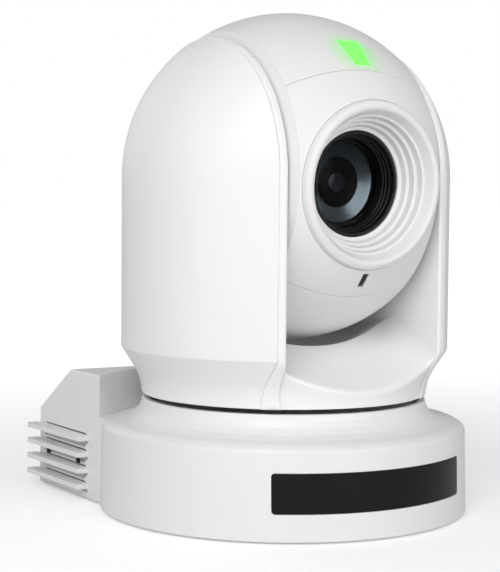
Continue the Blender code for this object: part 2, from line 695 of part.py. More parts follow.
def surface_insert(name, outline, angle, grow, material):
    """A piece of the head's shell thickness inside an outline, a little below the surface when it is a piece."""
    sunk = 0.0002 if material else -0.0010
    strip = barrel_shell(name, HEAD_RADIUS - sunk, HEAD_RADIUS - WALL - 0.0006, material)
    grown = [(across * (1 + grow / 0.005), up + math.copysign(grow, up)) for across, up in outline]
    place = radial_place(angle, HEAD_RADIUS)
    keep_inside(strip, extruded(name + "_outline", [rounded(grown, 0.0008)], 0.020, place, head))
    return strip


def make_tally_light(shell):
    half_height = 0.0085
    outline = [(-0.0040, -half_height), (0.0040, -half_height), (0.0062, half_height), (-0.0062, half_height)]
    angle = math.radians(49.4)
    surface_insert("tally_light", outline, angle, 0.0, tally_green)
    cut(shell, surface_insert("tally_hole", outline, angle, GAP, None))


def make_microphone(shell):
    outline = rectangle(0.00135, 0.0036)
    angle = math.radians(-33.5)
    surface_insert("microphone_insert", outline, angle, 0.0, port_black)
    hole = rectangle(0.00135 + GAP, 0.0036)
    cut(shell, surface_insert("microphone_hole", hole, angle, GAP, None))


def make_lens():
    """The stepped ring round the lens, and the zoom camera behind it. Heights are distances along the lens axis."""
    ring = [
        (LENS_APERTURE, 0.0570), (0.0264, 0.0576), (0.0272, 0.0602), (0.0284, 0.0606), (0.0290, 0.0637),
        (0.0302, 0.0640), (0.0310, 0.0672), (0.0319, 0.0675), (0.0340, 0.0718), (0.0360, 0.0726),
        (0.0380, 0.0714), (0.0386, 0.0692), (0.0386, 0.0665), (0.0300, 0.0555), (LENS_APERTURE, 0.0555),
    ]
    turned("lens_ring", ring, head, head_white, FORWARD, 40)
    barrel = [
        (0.0228, 0.0566), (0.0242, 0.0566), (0.0242, 0.0303), (0.0180, 0.0303), (0.0180, 0.0425),
        (0.0209, 0.0425), (0.0209, 0.0500), (0.0218, 0.0505), (0.0218, 0.0530), (0.0224, 0.0535),
    ]
    turned("lens_barrel", barrel, head, lens_black, FORWARD, 32)
    front = arc((0.0, 0.0482 - 0.0750), 0.0750, 90, 74.2, 5)
    front[0] = (0.0, front[0][1])
    turned("front_lens", front + [(front[-1][0], 0.0432), (0.0, 0.0432)], head, lens_glass, FORWARD, MEDIUM_ROUND, False)
    block = box("camera_block", (-0.025, -0.0300, -0.0280), (0.025, 0.0380, 0.0300), head, port_black, 0.0015)
    cut(block, rod("camera_bore", (0, -0.040, 0), (0, 0.0, 0), 0.0170, head, sides=24))
    box("image_sensor", (-0.0060, -0.0020, -0.0045), (0.0060, -0.0004, 0.0045), head, dark_panel)
    zoom = [(0.0, 0.0385), (0.0100, 0.0375), (0.0145, 0.0350), (0.0145, 0.0330), (0.0, 0.0330)]
    turned("zoom_lens", zoom, zoom_slide, lens_glass, FORWARD, SMALL_ROUND, False)
    focus = [(0.0, 0.0125), (0.0080, 0.0118), (0.0125, 0.0100), (0.0125, 0.0080), (0.0, 0.0080)]
    turned("focus_lens", focus, focus_slide, lens_glass, FORWARD, SMALL_ROUND, False)


clear_scene()
parts = new_collection("ptz_camera")
cutters = new_collection("ptz_camera_cutters")

shell_white = new_material("shell_white", (0.80, 0.80, 0.80), 0.38)
cover_white = new_material("cover_white", (0.84, 0.83, 0.82), 0.35)
frame_white = new_material("frame_white", (0.86, 0.86, 0.87), 0.32)
head_white = new_material("head_white", (0.78, 0.77, 0.77), 0.45)
fin_white = new_material("fin_white", (0.78, 0.78, 0.80), 0.36)
window_black = new_material("window_black", (0.012, 0.012, 0.013), 0.12)
port_black = new_material("port_black", (0.02, 0.02, 0.022), 0.45)
lens_black = new_material("lens_black", (0.010, 0.010, 0.012), 0.30)
lens_glass = new_material("lens_glass", (0.05, 0.07, 0.10), 0.05)
tally_green = new_material("tally_green", (0.15, 1.0, 0.10), 0.30)
black_rubber = new_material("black_rubber", (0.02, 0.02, 0.02), 0.75)
black_steel = new_material("black_steel", (0.03, 0.03, 0.03), 0.40, 0.8)
dark_steel = new_material("dark_steel", (0.16, 0.16, 0.17), 0.45, 0.8)
bright_steel = new_material("bright_steel", (0.70, 0.70, 0.72), 0.25, 1.0)
aluminium = new_material("aluminium", (0.72, 0.73, 0.75), 0.35, 1.0)
brass = new_material("brass", (0.70, 0.52, 0.22), 0.35, 1.0)
board_green = new_material("board_green", (0.02, 0.16, 0.06), 0.50)
dark_panel = new_material("dark_panel", (0.06, 0.06, 0.065), 0.50)

base = new_body("base", (0, 0, 0))
yoke = new_body("yoke", (0, 0, 0), PAN_AT_REST)
head = new_body("head", (0, 0, TILT_HEIGHT), PAN_AT_REST, HEAD_TILT_AT_REST)
pan_motor_spin = new_body("pan_motor_spin", PAN_MOTOR_PLACE)
tilt_motor_spin = new_body("tilt_motor_spin", (0, 0, TILT_HEIGHT - TILT_MOTOR_DROP), PAN_AT_REST)
zoom_slide = new_body("zoom_slide", (0, 0, TILT_HEIGHT), PAN_AT_REST, HEAD_TILT_AT_REST)
focus_slide = new_body("focus_slide", (0, 0, TILT_HEIGHT), PAN_AT_REST, HEAD_TILT_AT_REST)

make_base_housing()
window_tool("front_window", 0.0010, 0.0, window_black)
make_bottom()
make_rear_housing()
make_side_vent("side_vent_left", -1)
make_side_vent("side_vent_right", 1)
make_ports()
make_boards()
make_pan_drive()
make_yoke_frame()
make_side_cover("side_cover_left", -1)
make_side_cover("side_cover_right", 1)
make_tilt_drive()
make_head_shells()
make_lens()
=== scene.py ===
"""Looks of the PTZ camera: fine meshes, procedural materials, studio light and the camera's viewpoint.

Shapes are in millimetres until mesh_object() scales them. Yoke pieces are drawn in the yoke's own frame and
head pieces in the head's, whose origin is on the tilt axis and whose lens looks along -Y.
"""

import json
import math

import bmesh
import bpy
from mathutils import Matrix, Vector


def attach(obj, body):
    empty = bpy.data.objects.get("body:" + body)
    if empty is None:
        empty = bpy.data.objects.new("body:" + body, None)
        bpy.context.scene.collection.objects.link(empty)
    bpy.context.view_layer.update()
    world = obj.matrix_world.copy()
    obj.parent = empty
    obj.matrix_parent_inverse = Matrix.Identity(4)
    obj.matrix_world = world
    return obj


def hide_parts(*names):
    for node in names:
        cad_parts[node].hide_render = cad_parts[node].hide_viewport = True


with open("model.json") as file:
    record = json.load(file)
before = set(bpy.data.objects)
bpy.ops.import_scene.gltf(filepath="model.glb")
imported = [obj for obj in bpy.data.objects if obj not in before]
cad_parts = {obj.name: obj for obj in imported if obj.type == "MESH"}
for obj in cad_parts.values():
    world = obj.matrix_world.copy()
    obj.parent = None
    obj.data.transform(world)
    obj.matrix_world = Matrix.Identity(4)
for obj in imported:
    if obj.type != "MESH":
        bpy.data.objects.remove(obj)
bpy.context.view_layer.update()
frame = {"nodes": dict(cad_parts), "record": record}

MM = 0.001
VIEW_AZIMUTH = math.radians(31.8)
VIEW_DISTANCE = 0.74623
VIEW_HEIGHT = 0.1495
VIEW_PITCH = 0.0563
VIEW_YAW = -0.0227
VIEW_ROLL = 0.0091
VIEW_LENS = 95.52

PAN_AT_REST = math.radians(2.9)
TILT_AT_REST = math.radians(3.5)
TILT_HEIGHT = 161.0
BODY_RADIUS = 80.0
ARM_INNER = 43.5
ARM_OUTER = 47.3
ARM_FRONT = 65.2
WAIST_LOW = 55.8
WAIST_RECESS = 1.3
POCKET_RADIUS = 85.5
DISC_FLOOR = 42.9
SHELL = 2.4

BASE = Matrix.Identity(4)
YOKE = Matrix.Rotation(PAN_AT_REST, 4, "Z")
HEAD = YOKE @ Matrix.Translation((0, 0, TILT_HEIGHT * MM)) @ Matrix.Rotation(TILT_AT_REST, 4, "X")
ALONG_LENS = Matrix.Rotation(math.radians(90), 4, "X")
ALONG_TILT = Matrix.Rotation(math.radians(90), 4, "Y")
BACKWARD = Matrix.Rotation(math.radians(-90), 4, "X")
# An outline drawn as (along, up) and raised across, and one drawn as (along, across) and raised up.
ALONG_UP = Matrix(((0, 0, 1, 0), (1, 0, 0, 0), (0, 1, 0, 0), (0, 0, 0, 1)))
ALONG_ACROSS = Matrix(((0, 1, 0, 0), (1, 0, 0, 0), (0, 0, 1, 0), (0, 0, 0, 1)))


# Mesh helpers

def mesh_object(name, shape, matrix=BASE, sharp=38.0, weighted=True):
    """An object from a bmesh drawn in millimetres, with smooth faces that part at sharp edges."""
    bmesh.ops.recalc_face_normals(shape, faces=shape.faces)
    mesh = bpy.data.meshes.new(name)
    shape.to_mesh(mesh)
    shape.free()
    mesh.transform(matrix @ Matrix.Scale(MM, 4))
    mesh.shade_smooth()
    mesh.set_sharp_from_angle(angle=math.radians(sharp))
    made = bpy.data.objects.new(name, mesh)
    bpy.context.scene.collection.objects.link(made)
    if weighted:
        modifier = made.modifiers.new("Weighted normals", "WEIGHTED_NORMAL")
        modifier.keep_sharp = True
    return made


def baked(piece):
    """The piece with its modifiers applied."""
    graph = bpy.context.evaluated_depsgraph_get()
    mesh = bpy.data.meshes.new_from_object(piece.evaluated_get(graph))
    piece.modifiers.clear()
    piece.data = mesh
    return piece


def cut(piece, *tools, operation="DIFFERENCE"):
    for tool in tools:
        modifier = piece.modifiers.new("Cut", "BOOLEAN")
        modifier.operation = operation
        modifier.solver = "EXACT"
        modifier.object = tool
    baked(piece)
    for tool in tools:
        bpy.data.objects.remove(tool)
    return piece


def edge_round(piece, width, segments=3, angle=40.0):
    """Rounds the sharp edges of a piece, and makes its flat faces look flat."""
    modifier = piece.modifiers.new("Rounding", "BEVEL")
    modifier.width = width * MM
    modifier.segments = segments
    modifier.limit_method = "ANGLE"
    modifier.angle_limit = math.radians(angle)
    modifier.harden_normals = False
    baked(piece)
    piece.data.shade_smooth()
    piece.data.set_sharp_from_angle(angle=math.radians(38))
    modifier = piece.modifiers.new("Weighted normals", "WEIGHTED_NORMAL")
    modifier.keep_sharp = True
    return piece


def settle(piece, body, slot, material, *nodes):
    piece.data.materials.clear()
    piece.data.materials.append(material)
    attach(piece, body)
    if nodes:
        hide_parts(*nodes)
    return piece


def fillet(points, closed=False, steps=5):
    """A polyline of (x, y, radius) with its corners rounded."""
    result = []
    count = len(points)
    for index, point in enumerate(points):
        corner = Vector(point[:2])
        radius = point[2] if len(point) > 2 else 0.0
        if radius <= 0.0 or (not closed and index in (0, count - 1)):
            result.append(tuple(corner))
            continue
        before = Vector(points[index - 1][:2]) - corner
        after = Vector(points[(index + 1) % count][:2]) - corner
        half = before.angle(after) / 2
        reach = min(radius / math.tan(half), 0.48 * before.length, 0.48 * after.length)
        radius = reach * math.tan(half)
        middle = corner + (before.normalized() + after.normalized()).normalized() * radius / math.sin(half)
        start = corner + before.normalized() * reach - middle
        turn = start.angle_signed(corner + after.normalized() * reach - middle)
        for step in range(steps + 1):
            spin = Matrix.Rotation(-turn * step / steps, 2)
            result.append(tuple(middle + spin @ start))
    return result


def lathe(profile, segments=192, closed=True):
    """A bmesh of a (radius, height) profile turned about Z. A profile that touches the axis isn't closed."""
    shape = bmesh.new()
    rings = []
    for radius, height in profile:
        if radius < 1e-6:
            rings.append([shape.verts.new((0.0, 0.0, height))])
            continue
        angles = [math.tau * index / segments for index in range(segments)]
        rings.append([shape.verts.new((radius * math.cos(a), radius * math.sin(a), height)) for a in angles])
    pairs = list(zip(rings, rings[1:]))
    if closed:
        pairs.append((rings[-1], rings[0]))
    for upper, lower in pairs:
        for index in range(segments):
            after = (index + 1) % segments
            corners = [
                upper[index % len(upper)], lower[index % len(lower)],
                lower[after % len(lower)], upper[after % len(upper)],
            ]
            distinct = list(dict.fromkeys(corners))
            if len(distinct) > 2:
                shape.faces.new(distinct)
    return shape


def turned(name, profile, matrix=BASE, segments=192, closed=True, sharp=38.0):
    return mesh_object(name, lathe(fillet(profile, closed), segments, closed), matrix, sharp)


def prism(name, outline, low, high, matrix=BASE, sharp=38.0):
    """A closed (x, y) outline raised from one height to another."""
    shape = bmesh.new()
    bottom = [shape.verts.new((x, y, low)) for x, y in outline]
    top = [shape.verts.new((x, y, high)) for x, y in outline]
    shape.faces.new(bottom[::-1])
    shape.faces.new(top)
    for index in range(len(outline)):
        after = (index + 1) % len(outline)
        shape.faces.new((bottom[index], bottom[after], top[after], top[index]))
    return mesh_object(name, shape, matrix, sharp, weighted=False)


def block(name, low, high, matrix=BASE):
    corners = [(low[0], low[1]), (high[0], low[1]), (high[0], high[1]), (low[0], high[1])]
    return prism(name, corners, low[2], high[2], matrix)


def rounded_box(half_width, half_height, radius, centre=(0.0, 0.0), steps=6):
    across, up = centre
    corners = [
        (across - half_width, up - half_height, radius),
        (across + half_width, up - half_height, radius),
        (across + half_width, up + half_height, radius),
        (across - half_width, up + half_height, radius),
    ]
    return fillet(corners, True, steps)


def joined(name, pieces):
    """One piece of several that don't need a Boolean."""
    shape = bmesh.new()
    for piece in pieces:
        baked(piece)
        shape.from_mesh(piece.data)
        bpy.data.objects.remove(piece)
    mesh = bpy.data.meshes.new(name)
    shape.to_mesh(mesh)
    shape.free()
    mesh.set_sharp_from_angle(angle=math.radians(38))
    made = bpy.data.objects.new(name, mesh)
    bpy.context.scene.collection.objects.link(made)
    return made


def trim(shape, point, normal):
    """Removes what lies on the side of a plane that its normal points to."""
    everything = shape.verts[:] + shape.edges[:] + shape.faces[:]
    bmesh.ops.bisect_plane(
        shape, geom=everything, dist=0.001, plane_co=point, plane_no=normal, clear_outer=True
    )


def thicken(shape, depth, lip, steps=4):
    """Makes an open surface a shell with rounded edges. It stops one lip short of its finished edge."""
    bmesh.ops.remove_doubles(shape, verts=shape.verts, dist=0.12)
    bmesh.ops.dissolve_degenerate(shape, edges=shape.edges, dist=0.01)
    shape.normal_update()
    outer, faces = shape.verts[:], shape.faces[:]
    border = [edge for edge in shape.edges if edge.is_boundary]
    away = {}
    for edge in border:
        first, second = edge.verts
        face = edge.link_faces[0]
        out = (second.co - first.co).cross(face.normal).normalized()
        if out.dot((first.co + second.co) / 2 - face.calc_center_median()) < 0:
            out.negate()
        for vert in edge.verts:
            away.setdefault(vert, []).append(out)
    out_of = {}
    for vert, directions in away.items():
        mean = sum(directions, Vector()).normalized()
        mean = (mean - vert.normal * mean.dot(vert.normal)).normalized()
        out_of[vert] = mean / max(0.5, mean.dot(directions[0]))
    normal = {vert: vert.normal.copy() for vert in outer}
    inner = {}
    for vert in outer:
        shift = out_of[vert] * lip if vert in out_of else Vector()
        inner[vert] = shape.verts.new(vert.co - normal[vert] * depth + shift)
    rings = [{vert: vert for vert in out_of}]
    for step in range(1, steps + 1):
        angle = math.pi / 2 * step / steps
        rings.append({
            vert: shape.verts.new(
                vert.co + out * lip * math.sin(angle) - normal[vert] * lip * (1 - math.cos(angle))
            )
            for vert, out in out_of.items()
        })
    rings.append(inner)
    for face in faces:
        shape.faces.new([inner[vert] for vert in face.verts][::-1])
    for edge in border:
        first, second = edge.verts
        for ring, after in zip(rings, rings[1:]):
            shape.faces.new((ring[first], ring[second], after[second], after[first]))
    return shape


# Materials

def new_material(name, values):
    """A material and its shader, with these values on the shader's sockets."""
    made = bpy.data.materials.new(name)
    made.use_nodes = True
    shader = made.node_tree.nodes["Principled BSDF"]
    for socket, value in values.items():
        shader.inputs[socket].default_value = value
    return made, shader


def add_node(tree, kind, values=None, **settings):
    """A shader node with these settings, and these values on its input sockets."""
    made = tree.nodes.new("ShaderNode" + kind)
    for name, value in settings.items():
        setattr(made, name, value)
    for socket, value in (values or {}).items():
        made.inputs[socket].default_value = value
    return made


def object_place(tree):
    """A point's place in the object's own coordinates, in metres."""
    return add_node(tree, "TexCoord").outputs["Object"]


def object_height(tree):
    split = add_node(tree, "SeparateXYZ")
    tree.links.new(object_place(tree), split.inputs["Vector"])
    return split.outputs["Z"]


def noise(tree, place, scale, detail=2.0):
    made = add_node(tree, "TexNoise", {"Scale": scale, "Detail": detail})
    tree.links.new(place, made.inputs["Vector"])
    return made.outputs["Fac"]


def mapped(tree, value, start, end, low=0.0, high=1.0, kind="LINEAR"):
    """A value that runs from start to end, made to run from low to high."""
    values = {"From Min": start, "From Max": end, "To Min": low, "To Max": high}
    made = add_node(tree, "MapRange", values, interpolation_type=kind)
    tree.links.new(value, made.inputs["Value"])
    return made.outputs["Result"]


def ramp(tree, share, first, second, start=0.0, end=1.0):
    """A colour between two, by a share that runs from start to end."""
    made = add_node(tree, "ValToRGB")
    for element, colour, position in zip(made.color_ramp.elements, (first, second), (start, end)):
        element.position = position
        element.color = (*colour, 1)
    tree.links.new(share, made.inputs["Fac"])
    return made.outputs["Color"]


def surface(name, colour, roughness, metallic=0.0, grain=0.0, scale=900.0, mottle=0.03, specular=0.5):
    """A moulded, painted or metal surface with fine grain, slight colour variation and uneven gloss."""
    made, shader = new_material(name, {"Metallic": metallic, "Specular IOR Level": specular})
    tree = made.node_tree
    place = object_place(tree)
    broad = noise(tree, place, 22.0, 4.0)
    fine = noise(tree, place, scale, 3.0)
    darker = [channel * (1 - mottle) for channel in colour]
    paler = [min(1.0, channel * (1 + mottle)) for channel in colour]
    tree.links.new(ramp(tree, broad, darker, paler, 0.3, 0.7), shader.inputs["Base Color"])
    gloss = mapped(tree, fine, 0.3, 0.7, max(0.02, roughness - 0.04), roughness + 0.04)
    tree.links.new(gloss, shader.inputs["Roughness"])
    if grain:
        bump = add_node(tree, "Bump", {"Strength": grain, "Distance": 0.0002})
        tree.links.new(fine, bump.inputs["Height"])
        tree.links.new(bump.outputs["Normal"], shader.inputs["Normal"])
    return made


def glass(name, tint, roughness=0.0, clear=1.0, bend=1.45, specular=0.5):
    """Optical glass. Clear glass lets light through, and coated glass is dark with a gloss."""
    made, shader = new_material(name, {
        "Transmission Weight": clear, "IOR": bend, "Roughness": roughness, "Specular IOR Level": specular,
    })
    tree = made.node_tree
    broad = noise(tree, object_place(tree), 40.0)
    paler = [min(1.0, channel * 1.06) for channel in tint]
    tree.links.new(ramp(tree, broad, tint, paler), shader.inputs["Base Color"])
    return made


def glowing(name, colour, low, high):
    """Lit plastic between two heights, deeper in colour over its top quarter."""
    made = surface(name, colour, 0.25, mottle=0.02)
    tree = made.node_tree
    shader = tree.nodes["Principled BSDF"]
    shader.inputs["Emission Strength"].default_value = 1.0
    share = mapped(tree, object_height(tree), low, high)
    glow = ramp(tree, share, (0.16, 1.0, 0.10), (0.03, 0.62, 0.02), 0.75, 1.0)
    tree.links.new(glow, shader.inputs["Emission Color"])
    return made


def painted_glow_round(made, centre, strength):
    """Painted light: a green glow and a painted green tint on the plastic around a lamp, both fading with
    distance.
    """
    tree = made.node_tree
    shader = tree.nodes["Principled BSDF"]
    shader.inputs["Emission Color"].default_value = (0.10, 0.90, 0.06, 1)
    apart = add_node(tree, "VectorMath", {1: centre}, operation="DISTANCE")
    tree.links.new(object_place(tree), apart.inputs[0])
    fade = mapped(tree, apart.outputs["Value"], 0.003, 0.019, strength, 0.0, "SMOOTHERSTEP")
    tree.links.new(fade, shader.inputs["Emission Strength"])
    plain = shader.inputs["Base Color"].links[0].from_socket
    # Painted light: a green tint mixed into the plastic's colour near the lamp.
    more = add_node(tree, "Math", {1: 3.4}, operation="MULTIPLY")
    tint = add_node(tree, "MixRGB", {"Color2": (0.12, 0.80, 0.08, 1)})
    tree.links.new(fade, more.inputs[0])
    tree.links.new(more.outputs["Value"], tint.inputs["Fac"])
    tree.links.new(plain, tint.inputs["Color1"])
    tree.links.new(tint.outputs["Color"], shader.inputs["Base Color"])
    return made


def painted_shade_above(made, low, high, least):
    """Painted shade: metal whose colour is darkened between two heights, down to the least share of it."""
    tree = made.node_tree
    shader = tree.nodes["Principled BSDF"]
    plain = shader.inputs["Base Color"].links[0].from_socket
    deeper = add_node(tree, "VectorMath", operation="SCALE")
    tree.links.new(plain, deeper.inputs[0])
    share = mapped(tree, object_height(tree), low, high, 1.0, least, "SMOOTHSTEP")
    tree.links.new(share, deeper.inputs["Scale"])
    tree.links.new(deeper.outputs["Vector"], shader.inputs["Base Color"])
    return made


shell_white = surface("shell_white_plastic", (0.80, 0.80, 0.805), 0.42, grain=0.05, mottle=0.012)
cover_white = surface("cover_white_plastic", (0.85, 0.845, 0.835), 0.40, grain=0.05, mottle=0.010)
frame_white = surface("frame_white_plastic", (0.86, 0.86, 0.865), 0.36, grain=0.04, mottle=0.010)
head_white = surface("head_white_plastic", (0.79, 0.78, 0.78), 0.50, grain=0.07, mottle=0.010)
crown_white_painted_glow = surface("crown_white_plastic", (0.79, 0.78, 0.78), 0.50, grain=0.07, mottle=0.010)
# Painted light: green glow and green tint painted on the crown shell around the tally lamp.
painted_glow_round(crown_white_painted_glow, (0.0028, -0.0550, 0.2179), 0.13)
fin_white = surface("fin_white_paint", (0.80, 0.80, 0.81), 0.40, grain=0.05, mottle=0.012)
window_black = surface("window_black_gloss", (0.006, 0.006, 0.0065), 0.16, mottle=0.05, specular=0.22)
port_black = surface("port_black_plastic", (0.014, 0.014, 0.015), 0.45, grain=0.08, specular=0.35)
lens_black = surface("lens_black_paint", (0.007, 0.0065, 0.006), 0.38, grain=0.05, specular=0.3)
lens_glass = glass("front_glass", (0.90, 0.94, 1.0), bend=1.07)
inner_glass = glass("inner_glass", (0.004, 0.003, 0.008), 0.04, clear=0.0, specular=0.25)
tally_green = glowing("tally_green_light", (0.12, 0.85, 0.08), 0.212, 0.227)
black_rubber = surface("black_rubber", (0.018, 0.018, 0.018), 0.75, grain=0.25, scale=1400.0, mottle=0.1)
black_steel = surface("black_steel", (0.03, 0.03, 0.03), 0.35, metallic=0.9, grain=0.03)
dark_steel = surface("dark_steel", (0.16, 0.16, 0.17), 0.42, metallic=0.9, grain=0.08)
bright_steel = surface("bright_steel", (0.72, 0.72, 0.74), 0.22, metallic=1.0, grain=0.03)
aluminium = surface("aluminium", (0.74, 0.75, 0.77), 0.32, metallic=1.0, grain=0.05)
brass = surface("brass", (0.74, 0.54, 0.22), 0.30, metallic=1.0, grain=0.04)
board_green = surface("board_green", (0.015, 0.13, 0.05), 0.40, grain=0.1, scale=300.0, mottle=0.15)
dark_panel = surface("dark_panel_paint", (0.05, 0.05, 0.055), 0.50, grain=0.12)
cone_grey_painted_shade = surface("cone_grey_painted_shade", (0.086, 0.098, 0.104), 0.20, metallic=1.0, mottle=0.04)
# Painted shade: the cone is darker towards its top.
painted_shade_above(cone_grey_painted_shade, 0.149, 0.172, 0.22)
ring_black = surface("ring_black_paint", (0.002, 0.002, 0.002), 0.30, specular=0.05)
socket_gold = surface("socket_gold", (0.80, 0.58, 0.22), 0.25, metallic=1.0)


# Base

BASE_RADIUS = 90.0
WALL_TAPER = 40.5
WINDOW_HEIGHT = 21.5
VENT_CENTRE = (77.5, 20.5)
FIN_HEIGHTS = (6.4, 14.4, 22.4, 30.4)
FIN_HALF = 1.2


def waist_radius(height):
    """Radius of the yoke's outside at a height, from the waist's lower edge up to the covers' side."""
    table = [
        (WAIST_LOW, 69.9), (58.5, 70.0), (62.0, 70.7), (65.4, 71.9), (68.6, 73.7), (73.5, 76.85),
        (78.4, BODY_RADIUS),
    ]
    if height >= table[-1][0]:
        return table[-1][1]
    for (low, small), (high, large) in zip(table, table[1:]):
        if height <= high:
            share = (height - low) / (high - low)
            return small + (large - small) * share
    return table[0][1]


def base_profile(grow=0.0):
    """The round base's outside: neck, hollow shoulder, rim and a wall that widens a little downwards."""
    return [
        (69.5 + grow, 53.5, 0.6), (70.1 + grow, 50.6, 3.0), (71.6 + grow, 47.7, 3.0), (75.2 + grow, 45.1, 5.0),
        (80.0 + grow, 43.5, 8.0), (85.4 + grow, 42.6, 6.0), (89.0 + grow, 40.5, 2.6),
        (BASE_RADIUS + grow, 0.0, 0.6),
    ]


def window_band(name, sunk, proud, grow):
    """The part of the base's wall inside the window's outline, from below its surface to above it."""
    low, high = WINDOW_HEIGHT - 13.5, WINDOW_HEIGHT + 12.5
    low_radius, high_radius = (BASE_RADIUS - height / WALL_TAPER for height in (low, high))
    ring = [(high_radius - sunk, high), (high_radius + proud, high), (low_radius + proud, low),
            (low_radius - sunk, low)]
    band = mesh_object(name, lathe(ring, 288), BASE, weighted=False)
    outline = rounded_box(50.9 + grow, 8.8 + grow, 1.2 + grow, (0.0, WINDOW_HEIGHT))
    forward = Matrix.Translation((0, -0.070, 0)) @ ALONG_LENS
    return cut(band, prism("window_outline", outline, -30, 30, forward), operation="INTERSECT")


def make_base():
    inside = [(86.8, 0.0), (86.3, 38.6), (83.6, 40.2), (75.0, 41.2), (66.0, 46.5), (24.3, 46.5), (24.3, 50.0),
              (66.5, 50.0), (66.5, 53.5, 0.3)]
    housing = mesh_object("round_base", lathe(fillet(base_profile() + inside, True), 288), BASE)
    recess = window_band("recess", 1.3, 1.0, 0.3)
    passage = block("passage", (-50, 60, 3), (50, 100, 37.5))
    cut(housing, recess, passage)
    settle(edge_round(housing, 0.25, 2, 60.0), "base", "shell_white", shell_white, "base_housing")
    window = edge_round(window_band("window", 1.0, 0.05, 0.0), 0.3, 3, 60.0)
    settle(window, "base", "window_black", window_black, "front_window")


def block_side(along, up):
    """Half the rear block's width: its side faces widen backwards and narrow upwards."""
    return 81.5 + 0.0275 * (along - 40.0) - 0.0127 * up


def lean_out(piece, side):
    """Slants a piece that was drawn against the plane x = 0, so that it lies on the block's side face."""
    for vert in piece.data.vertices:
        across, along, up = vert.co
        vert.co.x = side * (block_side(along / MM, up / MM) * MM + across)
    if side < 0:
        piece.data.flip_normals()
    return piece


def arc_tool(name, radius, low, segments):
    """The inside of the arc that bounds the rear block at the front, above a height."""
    profile = [(0, 90), (radius, 90), (radius, low), (0, low)]
    place = Matrix.Translation((0, -0.045, 0))
    return mesh_object(name, lathe(profile, segments, False), place, weighted=False)


def make_rear_housing():
    """The connector block: a hollow box with a sloping top, cut to the round base and open for the vents."""
    profile = [(30.0, 0.0), (110.5, 0.0), (110.5, 39.6), (74.5, 63.0), (30.0, 63.0)]
    shape = bmesh.new()
    sides = []
    for side in (-1, 1):
        sides.append([shape.verts.new((side * block_side(along, up), along, up)) for along, up in profile])
    shape.faces.new(sides[0])
    shape.faces.new(sides[1][::-1])
    count = len(profile)
    for index in range(count):
        after = (index + 1) % count
        shape.faces.new((sides[0][index], sides[0][after], sides[1][after], sides[1][index]))
    housing = mesh_object("rear_block", shape, weighted=False)
    edge_round(housing, 1.2, 4, 20.0)
    arc = arc_tool("front_arc", 117.8, 42.4, 512)
    gap = 0.06
    shoulder = [(radius, up + 0.05, corner) for radius, up, corner in base_profile(gap)[:-1]]
    round_base = fillet([(0.0, 53.6)] + shoulder + [(BASE_RADIUS + gap, -1), (0, -1)])
    around = mesh_object("around_base", lathe(round_base, 288, False), weighted=False)
    inner = [(30, -1), (108.1, -1), (108.1, 38.5), (73.4, 60.6), (30, 60.6)]
    hollow = cut(prism("hollow", inner, -77.8, 77.8, ALONG_UP), arc_tool("wall_arc", 120.2, 40, 256))
    bay = prism("bay", rounded_box(66.0, 14.0, 2.5, (0.0, 19.5)), -120.0, -100.0, ALONG_LENS)
    cut(housing, arc, around, hollow, bay)
    for side in (-1, 1):
        hole = prism("hole", rounded_box(27.0, 17.0, 1.0, VENT_CENTRE), -90, 90, ALONG_UP)
        near, far = sorted((side * 70, side * 95))
        cut(hole, block("limit", (near, 40, 0), (far, 120, 50)), operation="INTERSECT")
        cut(housing, hole)
    settle(edge_round(housing, 0.35, 2, 50.0), "base", "shell_white", shell_white, "rear_housing")


def make_side_vent(which, side):
    """A louvre plate with four rounded fins. Under each fin's front end the plate has a shallow scoop."""
    plate = prism("plate", rounded_box(27.8, 17.8, 0.8, VENT_CENTRE), -2.2, 0.04, ALONG_UP)
    for height in FIN_HEIGHTS:
        low = height - FIN_HALF
        scoop = fillet([
            (52.2, low + 1.0, 0.3), (52.2, low - 0.8, 1.2), (56.5, low - 3.4, 3.5), (103.4, low - 3.4, 0.3),
            (103.4, low + 1.0, 0.3),
        ], True, 6)
        slot = rounded_box(24.0, 0.45, 0.4, (78.5, height + 1.9), 3)
        cut(plate, prism("scoop", scoop, -1.3, 1.0, ALONG_UP), prism("slot", slot, -3.0, 1.0, ALONG_UP))
    pieces = [plate]
    outline = fillet([
        (51.3, -2.0), (51.9, 0.0, 1.5), (52.6, 5.3, 2.6), (54.4, 5.35, 1.0), (111.2, 7.0, 1.0),
        (111.2, 0.55, 0.3), (104.2, 0.5, 0.2), (104.0, -2.0),
    ], True, 6)
    for height in FIN_HEIGHTS:
        fin = prism("fin", outline, height - FIN_HALF, height + FIN_HALF, ALONG_ACROSS)
        pieces.append(edge_round(fin, 0.75, 4, 50.0))
    vent = lean_out(joined(f"side_louvre_{which}", pieces), side)
    settle(vent, "base", "fin_white", fin_white, f"side_vent_{which}")
    head = [(0, 1.55), (1.0, 1.5), (1.4, 1.1, 0.3), (1.4, 0.3), (0, 0.3)]
    hexagon = [(0.75 * math.cos(math.tau * k / 6), 0.75 * math.sin(math.tau * k / 6)) for k in range(6)]
    for place, along in (("front", 62.0), ("rear", 97.0)):
        screw = mesh_object("head", lathe(fillet(head), 40, False), ALONG_TILT, weighted=False)
        cut(screw, prism("drive", hexagon, 0.8, 3.0, ALONG_TILT))
        screw.data.transform(Matrix.Translation((0, along * MM, 18.3 * MM)))
        screw.name = f"side_screw_{which}_{place}"
        lean_out(screw, side)
        settle(screw, "base", "black_steel", black_steel, f"vent_screw_{which}_{place}")


# Yoke

def waist_front(height, across, inset=0.0):
    """How far forward the waist's outside reaches at a height and a distance from the middle."""
    radius = waist_radius(height) - inset
    return math.sqrt(max(radius * radius - across * across, 1.0))


